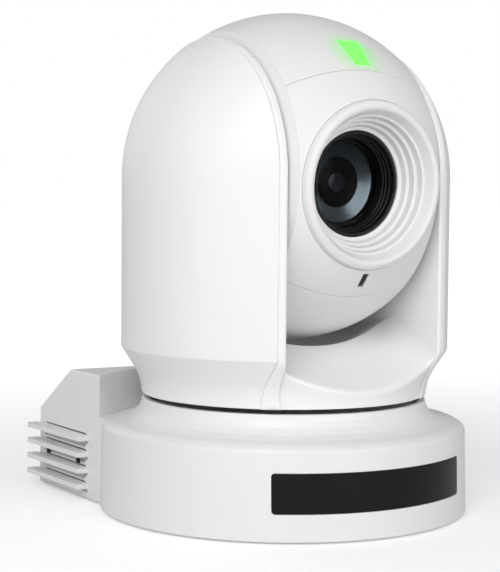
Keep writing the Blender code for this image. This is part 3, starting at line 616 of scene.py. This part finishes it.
def strip_inner(height):
    """How far from the middle the arm's front strip begins: it widens inwards down the waist."""
    straight_from, widening = 76.5, 3.3
    share = max(0.0, (straight_from - height) / (straight_from - WAIST_LOW))
    return ARM_INNER - widening * share ** 1.25


def smooth_least(first, second, width):
    """The smaller of two values, with a soft change from one to the other."""
    blend = max(0.0, min(1.0, 0.5 + 0.5 * (second - first) / width))
    return second + (first - second) * blend - width * blend * (1 - blend)


def arm_columns():
    """Across the arm's edge, as (share of the way out, drop from its face), rounded at each side."""
    width = ARM_OUTER - ARM_INNER
    inner, outer = 0.8, 0.45
    columns = [(0.0, 18.0), (0.0, 6.0), (0.0, 1.6)]
    for step in range(7):
        angle = math.pi / 2 * step / 6
        columns.append((inner * (1 - math.cos(angle)) / width, inner * (1 - math.sin(angle))))
    columns += [(0.35, 0.0), (0.5, 0.0), (0.65, 0.0), (0.75, 0.04)]
    for step in range(6):
        angle = math.pi / 2 * (1 - step / 5)
        columns.append((1 - outer * (1 - math.cos(angle)) / width, 0.30 + outer * (1 - math.sin(angle))))
    columns += [(1.0, 3.0), (1.0, 18.0)]
    return columns


def make_arm(side):
    """An arm plate: straight front and rear edges, a round top, and feet that follow the waist."""
    rows = []
    heights = [WAIST_LOW, 57.5, 59.5, 61.5, 63.5, 65.5, 67.5, 69.5]
    heights += [71.0, 72.5, 74.0, 75.5, 77.0, 78.5, 80.5, 84.0]
    heights += [90 + 8.875 * step for step in range(8)] + [TILT_HEIGHT]
    for height in heights:
        rows.append(("straight", 1, height))
    for step in range(1, 96):
        rows.append(("round", math.pi * step / 96, None))
    for height in heights[::-1]:
        rows.append(("straight", -1, height))
    shape = bmesh.new()
    grid = []
    for kind, turn, height in rows:
        line = []
        for share, drop in arm_columns():
            if kind == "round":
                across = ARM_INNER + (ARM_OUTER - ARM_INNER) * share
                reach = ARM_FRONT - drop
                along, up = -reach * math.cos(turn), TILT_HEIGHT + reach * math.sin(turn)
            else:
                inner = strip_inner(height)
                across = inner + (ARM_OUTER - inner) * share
                reach = smooth_least(ARM_FRONT, waist_front(height, across), 1.2) - drop
                along, up = -turn * reach, height
            line.append(shape.verts.new((side * across, along, up)))
        grid.append(line)
    for lower, upper in zip(grid, grid[1:]):
        for index in range(len(lower) - 1):
            shape.faces.new((lower[index], lower[index + 1], upper[index + 1], upper[index]))
    middles = []
    for column, across in ((0, ARM_INNER), (-1, ARM_OUTER)):
        middle = shape.verts.new((side * across, 0.0, WAIST_LOW))
        for first, second in zip(grid, grid[1:]):
            shape.faces.new((first[column], second[column], middle))
        middles.insert(0, middle)
    shape.faces.new(grid[0] + middles)
    shape.faces.new(grid[-1] + middles)
    return mesh_object("arm", shape, YOKE, 50.0)


def rise_to_arm(side, corner):
    """How far a round corner of this radius against the arm lifts the surface."""
    into = max(0.0, side - (ARM_INNER - corner))
    return corner - math.sqrt(max(corner ** 2 - into ** 2, 0.0))


def scoop_height(forward, across):
    """The scoop in front of the head: a trough that falls to the front and turns up into the arms."""
    side = min(abs(across), ARM_INNER)
    return 94.0 - 0.45 * forward + 6.4 * (side / ARM_INNER) ** 2 + rise_to_arm(side, 7.0)


def deck_height(behind, across):
    """The deck behind the head, which falls a little to the rear and more at its edge."""
    side = min(abs(across), ARM_INNER)
    return 97.0 - 0.087 * (behind - 10.0) - max(0.0, behind - 56.0) * 0.09 + rise_to_arm(side, 4.0)


def pocket_height(along, across):
    """The round hollow under the head."""
    return TILT_HEIGHT - math.sqrt(max(POCKET_RADIUS ** 2 - along ** 2 - across ** 2, 1.0))


def solve(function, low, high):
    """Where a function that falls through zero between two values is zero."""
    for _ in range(40):
        middle = (low + high) / 2
        if function(middle) > 0:
            low = middle
        else:
            high = middle
    return (low + high) / 2


def drawn_curve(start, corner, end, shares):
    """Points on a curve from start to end that is drawn towards a corner."""
    return [
        start * (1 - share) ** 2 + corner * (2 * share * (1 - share)) + end * share ** 2 for share in shares
    ]


def half_section(across, top, rim_radius, wall_count, top_count):
    """(along, up) from the waist's lower edge up its wall, over the rim and in to the pocket's edge."""
    rim = solve(lambda up: top(waist_front(up, across, WAIST_RECESS), across) - up, WAIST_LOW + 1, 110.0)
    rim_along = waist_front(rim, across, WAIST_RECESS)
    edge = solve(lambda along: top(along, across) - pocket_height(along, across), 0.0, rim_along - 1)
    wall_end = rim - rim_radius
    wall = []
    for step in range(wall_count + 1):
        up = WAIST_LOW + (wall_end - WAIST_LOW) * step / wall_count
        wall.append(Vector((waist_front(up, across, WAIST_RECESS), up)))
    start_along = rim_along - rim_radius * 1.1
    start = Vector((start_along, top(start_along, across)))
    corner = Vector((rim_along, rim))
    rim_points = drawn_curve(wall[-1], corner, start, [step / 8 for step in range(1, 8)])
    floor = []
    end = edge + 0.8
    for step in range(top_count + 1):
        along = start_along + (end - start_along) * step / top_count
        floor.append(Vector((along, top(along, across))))
    inside = edge - 0.8
    inner = Vector((inside, pocket_height(inside, across)))
    corner = Vector((edge, top(edge, across)))
    lip = drawn_curve(floor[-1], corner, inner, (0.25, 0.5, 0.75))
    return wall + rim_points + floor + lip, inside


def make_waist():
    """The hollow between the arms: front wall, scoop, head pocket, rear deck and rear wall."""
    shape = bmesh.new()
    count = 64
    columns = []
    for step in range(count + 1):
        across = ARM_INNER * math.sin(math.pi / 2 * (2 * step / count - 1)) * 1.004
        front, front_inside = half_section(across, scoop_height, 2.6, 12, 20)
        rear, rear_inside = half_section(across, deck_height, 1.6, 10, 10)
        line = [shape.verts.new((across, -point.x, point.y)) for point in front]
        for part in range(21):
            along = front_inside + (-rear_inside - front_inside) * part / 20
            line.append(shape.verts.new((across, -along, pocket_height(along, across))))
        line += [shape.verts.new((across, point.x, point.y)) for point in rear[::-1]]
        columns.append(line)
    for left, right in zip(columns, columns[1:]):
        for index in range(len(left) - 1):
            shape.faces.new((left[index], left[index + 1], right[index + 1], right[index]))
        shape.faces.new((left[0], right[0], right[-1], left[-1]))
    shape.faces.new(columns[0])
    shape.faces.new(columns[-1])
    return mesh_object("waist", shape, YOKE, 50.0)


def make_yoke():
    disc = turned("disc", [(0, 58.9), (67.2, 58.9, 0.3), (67.2, 56.1, 0.3), (0, 56.1)], YOKE, closed=False)
    whole = joined("yoke_body", [make_arm(-1), make_arm(1), make_waist(), disc])
    settle(whole, "yoke", "frame_white", frame_white, "yoke_frame")


def bullet():
    """The covers' outside as (radius, height), from the top down."""
    steps = 48
    angles = [math.pi / 2 * step / steps for step in range(steps + 1)]
    dome = [(BODY_RADIUS * math.sin(a), TILT_HEIGHT + BODY_RADIUS * math.cos(a)) for a in angles]
    straight = [(BODY_RADIUS, TILT_HEIGHT - 8.26 * step) for step in range(1, 10)]
    neck = fillet([
        (BODY_RADIUS, 84.0), (BODY_RADIUS, 78.4, 2.0), (73.7, 68.6, 9.0), (71.9, 65.4, 6.0), (70.7, 62.0, 6.0),
        (70.0, 58.5, 6.0), (69.9, 56.3),
    ], False, 6)[1:]
    return dome + straight + neck


def make_covers():
    """The part of the bullet outside each arm, behind a thin seam."""
    seam, rounding = 0.3, 0.45
    for side, which in ((-1, "left"), (1, "right")):
        shape = lathe(bullet(), 320, False)
        trim(shape, (side * (ARM_OUTER + seam + rounding), 0, 0), (-side, 0, 0))
        thicken(shape, SHELL, rounding)
        cover = mesh_object(f"arm_cover_{which}", shape, YOKE)
        settle(cover, "yoke", "cover_white", cover_white, f"side_cover_{which}")


# Head

HEAD_RADIUS = 79.2
HEAD_HALF_WIDTH = 39.9
SEAM_OFFSET = 20.0
SEAM_ANGLE = math.radians(34.5)
SEAM_GAP = 0.10
LIP = 0.25
TALLY_ANGLE = 49.4
SLOT_ANGLE = -33.5


def seam_normal(side):
    return Vector((0.0, -math.cos(SEAM_ANGLE), -side * math.sin(SEAM_ANGLE)))


def head_ball():
    """The ball's surface between the side discs, as a fine grid about the tilt axis."""
    shape = bmesh.new()
    around, across = 240, 64
    edge = HEAD_HALF_WIDTH - LIP
    lean = math.asin(edge / HEAD_RADIUS)
    rows = []
    for step in range(across + 1):
        angle = -lean + 2 * lean * step / across
        radius, side = HEAD_RADIUS * math.cos(angle), HEAD_RADIUS * math.sin(angle)
        turns = [math.tau * k / around for k in range(around)]
        rows.append([shape.verts.new((side, radius * math.cos(a), radius * math.sin(a))) for a in turns])
    for first, second in zip(rows, rows[1:]):
        for k in range(around):
            after = (k + 1) % around
            shape.faces.new((first[k], first[after], second[after], second[k]))
    return shape


def radial_place(degrees):
    """A frame on the head's surface, with its Z pointing out at this angle above the lens axis."""
    angle = math.radians(degrees)
    out = Vector((0.0, -math.cos(angle), math.sin(angle)))
    up = Vector((0.0, math.sin(angle), math.cos(angle)))
    turn = Matrix((up.cross(out), up, out)).transposed().to_4x4()
    return HEAD @ Matrix.Translation(out * HEAD_RADIUS * MM) @ turn


def tally_outline(grow):
    return fillet([
        (-4.0 - grow, -8.5 - grow, 1.0), (4.0 + grow, -8.5 - grow, 1.0), (6.2 + grow, 8.5 + grow, 1.0),
        (-6.2 - grow, 8.5 + grow, 1.0),
    ], True, 5)


def surface_insert(name, outline, degrees, sunk):
    """A curved piece of the head's surface inside an outline."""
    steps = 64
    arcs = []
    for radius in (HEAD_RADIUS - sunk, HEAD_RADIUS - SHELL):
        lean = math.asin(12.0 / radius)
        angles = [lean * (1 - 2 * k / steps) for k in range(steps + 1)]
        arcs.append([(radius * math.cos(a), radius * math.sin(a)) for a in angles])
    strip = mesh_object(name, lathe(arcs[0] + arcs[1][::-1], 320), HEAD @ ALONG_TILT, weighted=False)
    cut(strip, prism("outline", outline, -12, 12, radial_place(degrees)), operation="INTERSECT")
    return edge_round(strip, 0.2, 2, 55.0)


def make_head():
    ring_edge = math.sqrt(HEAD_RADIUS ** 2 - (38.9 + LIP) ** 2)
    front = head_ball()
    for side in (-1, 1):
        normal = seam_normal(side)
        trim(front, normal * (SEAM_OFFSET + SEAM_GAP + LIP), -normal)
    trim(front, (0, -ring_edge, 0), (0, -1, 0))
    thicken(front, SHELL, LIP)
    front_shell = mesh_object("face_shell", front, HEAD)
    slot = prism("slot", rounded_box(1.65, 3.9, 0.4), -12, 12, radial_place(SLOT_ANGLE))
    cut(front_shell, slot)
    front_shell.data.set_sharp_from_angle(angle=math.radians(38))
    settle(front_shell, "head", "head_white", head_white, "head_front_shell")

    for side, node, name in ((1, "head_upper_shell", "crown_shell"), (-1, "head_lower_shell", "chin_shell")):
        shape = head_ball()
        normal = seam_normal(side)
        trim(shape, normal * (SEAM_OFFSET - SEAM_GAP - LIP), normal)
        trim(shape, (0, 0, side * (SEAM_GAP + LIP)), (0, 0, -side))
        thicken(shape, SHELL, LIP)
        shell = mesh_object(name, shape, HEAD)
        if side > 0:
            cut(shell, prism("tally_hole", tally_outline(0.3), -12, 12, radial_place(TALLY_ANGLE)))
            shell.data.set_sharp_from_angle(angle=math.radians(38))
        settle(shell, "head", "head_white", crown_white_painted_glow if side > 0 else head_white, node)

    light = surface_insert("tally_lens", tally_outline(0.0), TALLY_ANGLE, 0.15)
    settle(light, "head", "tally_green", tally_green, "tally_light")
    microphone = surface_insert("microphone_slot", rounded_box(1.35, 3.6, 0.3), SLOT_ANGLE, 0.5)
    settle(microphone, "head", "port_black", port_black, "microphone_insert")

    dish = [
        (9.3, DISC_FLOOR), (40.0, DISC_FLOOR), (55.0, DISC_FLOOR, 8.0), (64.0, 42.1, 6.0), (68.66, 39.5),
        (65.5, 39.5), (64.0, 41.1), (9.3, 41.1),
    ]
    for which, turn in (("left", ALONG_TILT.inverted()), ("right", ALONG_TILT)):
        disc = turned(f"side_disc_{which}", dish, HEAD @ turn, 256)
        settle(disc, "head", "head_white", head_white, f"head_side_{which}")


def make_lens():
    """Heights are distances forward along the lens axis."""
    ring = [
        (24.6, 57.0, 0.3), (26.2, 57.6, 0.3), (27.0, 60.2, 0.5), (28.3, 60.7, 0.4), (28.9, 63.7, 0.5),
        (30.2, 64.1, 0.4), (30.9, 67.2, 0.5), (31.9, 67.6, 0.4), (34.2, 71.9, 1.6), (36.0, 72.6, 1.6),
        (38.0, 71.3, 1.2), (38.6, 69.2, 0.4), (38.6, 66.5), (30.0, 55.5), (24.6, 55.5),
    ]
    settle(turned("lens_hood", ring, HEAD @ ALONG_LENS, 288), "head", "head_white", head_white, "lens_ring")
    barrel = [
        (22.8, 56.6, 0.4), (24.2, 56.6, 0.4), (24.2, 30.3), (18.0, 30.3), (18.0, 42.5), (20.9, 42.5),
        (20.9, 50.0), (21.3, 50.3, 0.2), (21.5, 51.6, 0.2), (21.9, 51.8, 0.2), (22.1, 53.6, 0.2),
        (22.5, 53.8, 0.2),
    ]
    settle(turned("lens_tube", barrel, HEAD @ ALONG_LENS, 224), "head", "lens_black", lens_black, "lens_barrel")

    curve, top = 75.0, 48.2
    radii = [20.4 * k / 16 for k in range(17)]
    dome = [(radius, top - curve + math.sqrt(curve ** 2 - radius ** 2)) for radius in radii]
    hollow = [(radius, height - 1.5) for radius, height in dome]
    element = dome + hollow[::-1]
    front = mesh_object("front_element", lathe(element, 160, False), HEAD @ ALONG_LENS, 30.0)
    settle(front, "head", "lens_glass", lens_glass, "front_lens")

    cone = [
        (18.8, 44.2, 0.3), (18.8, 43.0), (11.0, 41.75), (9.6, 41.75), (9.6, 42.6, 0.25), (10.4, 43.0, 0.3),
        (11.2, 42.7, 0.2), (11.8, 42.2, 0.4),
    ]
    settle(turned("retainer_cone", cone, HEAD @ ALONG_LENS, 192), "head", "lens_black", cone_grey_painted_shade)
    rings = [
        (9.5, 43.2, 0.2), (10.4, 43.5, 0.3), (11.3, 43.2, 0.2), (11.4, 42.6), (9.4, 41.7), (4.6, 41.7),
        (4.6, 42.0, 0.1), (5.4, 42.05, 0.1), (5.7, 42.35, 0.1), (6.8, 42.4, 0.1), (7.1, 42.7, 0.1),
        (8.2, 42.75, 0.1), (8.5, 43.0, 0.1),
    ]
    settle(turned("inner_rings", rings, HEAD @ ALONG_LENS, 160), "head", "lens_black", ring_black)
    pupil = [(4.9 * k / 12, 42.5 - 0.6 * (k / 12) ** 2) for k in range(13)] + [(4.9, 41.75), (0.0, 41.75)]
    pupil_piece = mesh_object("pupil_glass", lathe(pupil, 96, False), HEAD @ ALONG_LENS, 30.0)
    settle(pupil_piece, "head", "lens_glass", inner_glass)
    zoom = [(0.0, 38.5)] + [(9.4 * k / 10, 38.5 - 1.1 * (k / 10) ** 2) for k in range(1, 11)]
    zoom += [(9.4, 34.0), (0.0, 34.0)]
    zoom_piece = mesh_object("zoom_glass", lathe(zoom, 96, False), HEAD @ ALONG_LENS, 30.0)
    settle(zoom_piece, "zoom_group", "lens_glass", inner_glass, "zoom_lens")
    holder = [
        (9.5, 38.1, 0.2), (10.2, 38.4, 0.3), (12.4, 38.2, 0.4), (14.5, 37.0, 0.4), (14.5, 33.0, 0.2),
        (9.0, 33.0), (9.0, 33.8), (9.5, 33.9),
    ]
    settle(turned("zoom_holder", holder, HEAD @ ALONG_LENS, 96), "zoom_group", "lens_black", lens_black)


# Rear connectors

def on_panel(across, up, back=102.6):
    """A place on the connector panel, with its Z pointing out of the back."""
    return Matrix.Translation((across * MM, back * MM, up * MM)) @ BACKWARD


def power_opening(place):
    profile = [(0.0, 1.0), (3.1, 1.0), (3.1, -9.0), (1.1, -9.0), (1.1, -1.0), (0.0, -1.0)]
    return mesh_object("hole", lathe(profile, 64, False), place, weighted=False)


def network_opening(place):
    wide, tall, tab, step = 5.9, 4.2, 3.0, 2.6
    outline = fillet([
        (-wide, -tall, 0.2), (wide, -tall, 0.2), (wide, step, 0.2), (tab, step, 0.2), (tab, tall, 0.2),
        (-tab, tall, 0.2), (-tab, step, 0.2), (-wide, step, 0.2),
    ], True, 3)
    return prism("inside", outline, -9.5, 1.0, place)


def hdmi_opening(place):
    wide, tall, foot = 6.9, 2.2, 5.4
    outline = fillet([
        (-wide, tall, 0.3), (wide, tall, 0.3), (wide, -0.3, 0.3), (foot, -tall, 0.3), (-foot, -tall, 0.3),
        (-wide, -0.3, 0.3),
    ], True, 3)
    return prism("inside", outline, -9.5, 1.0, place)


def make_connectors():
    bnc = [
        (0.0, -12.0), (4.6, -12.0), (4.6, 0.3), (6.8, 0.3, 0.3), (6.8, 2.4, 0.4), (4.8, 2.4, 0.2),
        (4.8, 3.4, 0.3), (4.4, 3.7, 0.1), (4.8, 4.0, 0.3), (4.8, 9.0, 0.4), (3.4, 9.0, 0.3), (3.4, 1.0),
        (0.7, 1.0), (0.7, 6.0, 0.3), (0.0, 6.2),
    ]
    din = [
        (0.0, -11.0), (5.2, -11.0), (5.2, 0.3), (5.5, 0.3, 0.1), (5.5, 4.0, 0.5), (4.0, 4.0, 0.3),
        (4.0, 0.5), (0.0, 0.5),
    ]
    jack = [
        (0.0, -10.0), (3.4, -10.0), (3.4, 0.3), (3.8, 0.3, 0.1), (3.8, 3.0, 0.4), (1.8, 3.0, 0.3),
        (1.8, -8.0), (0.0, -8.0),
    ]
    round_ones = (
        ("sdi_socket", "sdi_port", bnc, 6.0, 14.0, "bright_steel", bright_steel),
        ("genlock_socket", "genlock_port", bnc, -36.0, 14.0, "bright_steel", bright_steel),
        ("serial_socket", "serial_port", din, -53.5, 20.5, "port_black", port_black),
        ("audio_socket", "audio_jack", jack, -53.5, 9.5, "port_black", port_black),
    )
    for name, node, profile, across, up, slot, material in round_ones:
        port = turned(name, profile, on_panel(across, up), 96, False)
        settle(port, "base", slot, material, node)

    boxed_ones = (
        ("power_socket", "power_jack", 50.0, 14.0, 5.5, 5.5, 18.0, power_opening),
        ("network_socket", "network_port", 28.0, 16.0, 8.0, 6.8, 19.5, network_opening),
        ("hdmi_socket", "hdmi_port", -16.0, 14.0, 7.6, 3.1, 15.0, hdmi_opening),
    )
    for name, node, across, up, half_width, half_height, depth, opening in boxed_ones:
        place = on_panel(across, up, 106.0)
        port = prism(name, rounded_box(half_width, half_height, 0.5), -depth, 0.0, place)
        cut(port, opening(place))
        settle(edge_round(port, 0.18, 2, 55.0), "base", "port_black", port_black, node)
    contacts = []
    for index in range(8):
        across = 28.0 + (index - 3.5) * 1.02
        contacts.append(block("contact", (across - 0.2, 97.5, 18.4), (across + 0.2, 104.6, 18.75)))
    settle(joined("network_contacts", contacts), "base", "brass", socket_gold)
    tongue = block("hdmi_tongue", (-21.2, 97.0, 13.5), (-10.8, 104.8, 14.3))
    settle(edge_round(tongue, 0.1, 2), "base", "port_black", port_black)


def finish_cad_nodes():
    """Better materials on the CAD nodes that stay: the underside, the panel and the works inside."""
    finishes = {
        "shell_white": shell_white, "cover_white": cover_white, "frame_white": frame_white,
        "head_white": head_white, "fin_white": fin_white, "window_black": window_black,
        "port_black": port_black, "lens_black": lens_black, "lens_glass": inner_glass,
        "tally_green": tally_green, "black_rubber": black_rubber, "black_steel": black_steel,
        "dark_steel": dark_steel, "bright_steel": bright_steel, "aluminium": aluminium, "brass": brass,
        "board_green": board_green, "dark_panel": dark_panel,
    }
    for subpart in frame["record"]["subparts"]:
        node = frame["nodes"][subpart["node"]]
        for slot in node.material_slots:
            slot.material = finishes[subpart["material_slot"]]


# Camera, light and floor

def make_camera():
    """The photograph's viewpoint: to one side of the front, a little below the lens."""
    forward = Vector((
        math.sin(VIEW_YAW) * math.cos(VIEW_PITCH),
        math.cos(VIEW_YAW) * math.cos(VIEW_PITCH),
        -math.sin(VIEW_PITCH),
    ))
    right = Vector((math.cos(VIEW_YAW), -math.sin(VIEW_YAW), 0.0))
    up = right.cross(forward)
    rolled_right = math.cos(VIEW_ROLL) * right + math.sin(VIEW_ROLL) * up
    rolled_up = math.cos(VIEW_ROLL) * up - math.sin(VIEW_ROLL) * right
    turn = Matrix((rolled_right, rolled_up, -forward)).transposed().to_4x4()
    place = Matrix.Translation((0.0, -VIEW_DISTANCE, VIEW_HEIGHT))
    data = bpy.data.cameras.new("camera")
    data.lens = VIEW_LENS
    made = bpy.data.objects.new("camera", data)
    bpy.context.scene.collection.objects.link(made)
    made.matrix_world = Matrix.Rotation(-VIEW_AZIMUTH, 4, "Z") @ place @ turn
    bpy.context.scene.camera = made


def add_light(name, azimuth, elevation, distance, size, energy):
    """An area light that looks at the object, at an azimuth counted like the views'."""
    azimuth, elevation = math.radians(azimuth), math.radians(elevation)
    data = bpy.data.lights.new(name, "AREA")
    data.energy = energy
    data.size = size
    made = bpy.data.objects.new(name, data)
    bpy.context.scene.collection.objects.link(made)
    target = Vector((0, 0, 0.12))
    level = math.cos(elevation)
    out = Vector((math.sin(azimuth) * level, -math.cos(azimuth) * level, math.sin(elevation)))
    made.location = target + distance * out
    made.rotation_euler = (target - made.location).to_track_quat("-Z", "Y").to_euler()


def make_studio():
    """Softboxes in front, dim light all round, and a white room behind, as the camera sees it."""
    scene = bpy.context.scene
    scene.view_settings.view_transform = "Standard"
    world = bpy.data.worlds.new("studio")
    world.use_nodes = True
    tree = world.node_tree
    ambient = tree.nodes["Background"]
    ambient.inputs["Color"].default_value = (1, 1, 1, 1)
    ambient.inputs["Strength"].default_value = 0.36
    white = add_node(tree, "Background", {"Color": (1, 1, 1, 1)})
    seen = add_node(tree, "LightPath")
    mix = add_node(tree, "MixShader")
    tree.links.new(seen.outputs["Is Camera Ray"], mix.inputs[0])
    tree.links.new(ambient.outputs[0], mix.inputs[1])
    tree.links.new(white.outputs[0], mix.inputs[2])
    tree.links.new(mix.outputs[0], tree.nodes["World Output"].inputs["Surface"])
    scene.world = world
    add_light("key", -44, 32, 1.3, 0.55, 6.6)
    add_light("fill", 10, 9, 1.5, 0.9, 7.6)
    add_light("low", -80, 6, 1.6, 1.0, 4.4)
    add_light("back", -170, 20, 1.6, 1.0, 2.2)
    bpy.ops.mesh.primitive_plane_add(size=60, location=(0, 0, -0.0008))
    floor = bpy.context.object
    floor.name = "floor"
    pale, shader = new_material("pale_floor", {
        "Base Color": (0.76, 0.76, 0.76, 1), "Roughness": 0.9, "Emission Color": (1, 1, 1, 1),
    })
    tree = pale.node_tree
    # Painted light: the floor glows to the camera, least near the object and more further off.
    far = add_node(tree, "VectorMath", operation="LENGTH")
    tree.links.new(object_place(tree), far.inputs[0])
    paler = mapped(tree, far.outputs["Value"], 0.15, 1.0, 0.36, 0.85)
    seen = add_node(tree, "LightPath")
    both = add_node(tree, "Math", operation="MULTIPLY")
    tree.links.new(paler, both.inputs[0])
    tree.links.new(seen.outputs["Is Camera Ray"], both.inputs[1])
    tree.links.new(both.outputs["Value"], shader.inputs["Emission Strength"])
    floor.data.materials.append(pale)


finish_cad_nodes()
make_base()
make_rear_housing()
make_side_vent("left", -1)
make_side_vent("right", 1)
make_yoke()
make_covers()
make_head()
make_lens()
make_connectors()
make_camera()
make_studio()
